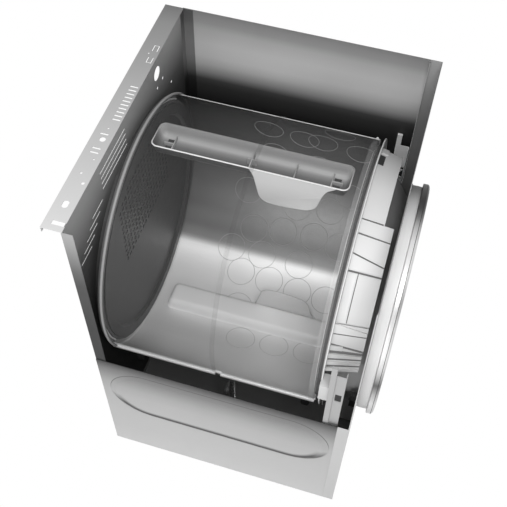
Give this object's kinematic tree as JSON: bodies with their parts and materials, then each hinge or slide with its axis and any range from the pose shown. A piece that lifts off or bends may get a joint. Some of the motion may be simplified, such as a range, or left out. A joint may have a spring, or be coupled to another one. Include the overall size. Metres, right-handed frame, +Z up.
{
  "type": "clothes dryer",
  "caption": "Front-loading tumble clothes dryer shown as a cutaway, open at the top and upper left side, with a round side-hinged door and a turning drum",
  "frame": {"origin": "on the floor, at the centre of the overall box", "axes": "+Z up, the front with the door faces -Y, +X to the right seen from the front"},
  "size_m": [0.696, 0.694, 0.943],
  "materials": {
    "painted_steel": "satin light grey paint",
    "galvanised_steel": "zinc-coated sheet",
    "drum_steel": "brushed, with pressed circles",
    "white_plastic": "satin moulded",
    "grey_plastic": "satin moulded",
    "dark_plastic": "matt moulded",
    "chrome": "polished",
    "window_glass": "clear",
    "rubber": "matt",
    "felt": "pressed felt",
    "heating_wire": "oxidised wire",
    "bright_steel": "bright plated"
  },
  "bodies": {
    "cabinet": {"left_side_panel": "painted_steel", "right_side_panel": "painted_steel", "front_panel": "painted_steel", "base_pan": "galvanised_steel", "rear_panel": "galvanised_steel", "rear_top_rail": "galvanised_steel", "left_post": "galvanised_steel", "right_post": "galvanised_steel", "rear_bulkhead": "galvanised_steel", "motor_bracket": "galvanised_steel", "idler_bracket": "galvanised_steel", "exhaust_duct": "galvanised_steel", "heater_housing": "galvanised_steel", "terminal_cover": "galvanised_steel", "front_bulkhead": "white_plastic", "lint_chute": "white_plastic", "blower_housing": "white_plastic", "motor": "grey_plastic", "terminal_block": "dark_plastic", "strike_catch": "dark_plastic", "door_switch": "dark_plastic", "high_limit_thermostat": "dark_plastic", "drum_lamp_lens": "window_glass", "drum_belt": "rubber", "front_felt_seal": "felt", "rear_felt_seal": "felt", "heater_element": "heating_wire", "front_left_roller_shaft": "bright_steel", "front_right_roller_shaft": "bright_steel", "rear_left_roller_shaft": "bright_steel", "rear_right_roller_shaft": "bright_steel", "idler_spring": "bright_steel", "hinge_leaf": "bright_steel", "hinge_pin": "bright_steel"},
    "drum": {"drum_shell": "drum_steel", "top_baffle": "grey_plastic", "bottom_baffle": "grey_plastic"},
    "front_left_roller": {"front_left_roller": "rubber"},
    "front_right_roller": {"front_right_roller": "rubber"},
    "rear_left_roller": {"rear_left_roller": "rubber"},
    "rear_right_roller": {"rear_right_roller": "rubber"},
    "rotor": {"motor_shaft": "bright_steel", "motor_pulley": "bright_steel", "blower_wheel": "dark_plastic"},
    "idler_arm": {"idler_arm": "galvanised_steel"},
    "idler_pulley": {"idler_pulley": "dark_plastic"},
    "lint_filter": {"lint_filter": "grey_plastic"},
    "door": {"door_frame": "white_plastic", "door_trim_ring": "chrome", "door_window": "window_glass", "door_seal": "rubber", "hinge_arm": "bright_steel", "door_strike": "bright_steel"},
    "door_switch_plunger": {"door_switch_plunger": "white_plastic"},
    "foot_front_left": {"foot_front_left": "rubber"},
    "foot_front_right": {"foot_front_right": "rubber"},
    "foot_rear_left": {"foot_rear_left": "rubber"},
    "foot_rear_right": {"foot_rear_right": "rubber"}
  },
  "joints": [
    {"name": "door_hinge", "type": "hinge", "parent": "cabinet", "child": "door", "pos_m": [0.2925, -0.3195, 0.501], "axis": [0, 0, 1], "range_deg": [0, 130]},
    {"name": "drum_spin", "type": "hinge", "parent": "cabinet", "child": "drum", "pos_m": [0, 0.039, 0.565], "axis": [0, 1, 0], "continuous": true},
    {"name": "front_left_roller_spin", "type": "hinge", "parent": "cabinet", "child": "front_left_roller", "pos_m": [-0.19777, -0.18, 0.28256], "axis": [0, 1, 0], "continuous": true},
    {"name": "front_right_roller_spin", "type": "hinge", "parent": "cabinet", "child": "front_right_roller", "pos_m": [0.19777, -0.18, 0.28256], "axis": [0, 1, 0], "continuous": true},
    {"name": "rear_left_roller_spin", "type": "hinge", "parent": "cabinet", "child": "rear_left_roller", "pos_m": [-0.19777, 0.255, 0.28256], "axis": [0, 1, 0], "continuous": true},
    {"name": "rear_right_roller_spin", "type": "hinge", "parent": "cabinet", "child": "rear_right_roller", "pos_m": [0.19777, 0.255, 0.28256], "axis": [0, 1, 0], "continuous": true},
    {"name": "motor_spin", "type": "hinge", "parent": "cabinet", "child": "rotor", "pos_m": [0.12, -0.08, 0.137], "axis": [0, 1, 0], "continuous": true},
    {"name": "idler_arm_pivot", "type": "hinge", "parent": "cabinet", "child": "idler_arm", "pos_m": [-0.18848, 0.034, 0.15963], "axis": [0, 1, 0], "range_deg": [-8, 0], "stiffness_Nm_per_rad": 3, "springref_deg": 5.73, "deforming": ["idler_spring"]},
    {"name": "idler_spin", "type": "hinge", "parent": "idler_arm", "child": "idler_pulley", "pos_m": [-0.09, 0.024, 0.177], "axis": [0, 1, 0], "continuous": true},
    {"name": "lint_filter_lift", "type": "slide", "parent": "cabinet", "child": "lint_filter", "axis": [0, 0, 1], "range_m": [0, 0.19]},
    {"name": "door_switch_press", "type": "slide", "parent": "cabinet", "child": "door_switch_plunger", "axis": [0, 1, 0], "range_m": [0, 0.003], "stiffness_N_per_m": 150, "springref_m": -0.003},
    {"name": "foot_front_left_height", "type": "slide", "parent": "cabinet", "child": "foot_front_left", "axis": [0, 0, 1], "range_m": [-0.01, 0]},
    {"name": "foot_front_right_height", "type": "slide", "parent": "cabinet", "child": "foot_front_right", "axis": [0, 0, 1], "range_m": [-0.01, 0]},
    {"name": "foot_rear_left_height", "type": "slide", "parent": "cabinet", "child": "foot_rear_left", "axis": [0, 0, 1], "range_m": [-0.01, 0]},
    {"name": "foot_rear_right_height", "type": "slide", "parent": "cabinet", "child": "foot_rear_right", "axis": [0, 0, 1], "range_m": [-0.01, 0]}
  ],
  "couplings": [
    {"joint": "front_left_roller_spin", "follows": "drum_spin", "ratio": -10.483},
    {"joint": "front_right_roller_spin", "follows": "drum_spin", "ratio": -10.483},
    {"joint": "rear_left_roller_spin", "follows": "drum_spin", "ratio": -10.483},
    {"joint": "rear_right_roller_spin", "follows": "drum_spin", "ratio": -10.483},
    {"joint": "motor_spin", "follows": "drum_spin", "ratio": 26.208},
    {"joint": "idler_spin", "follows": "drum_spin", "ratio": 12.58}
  ]
}
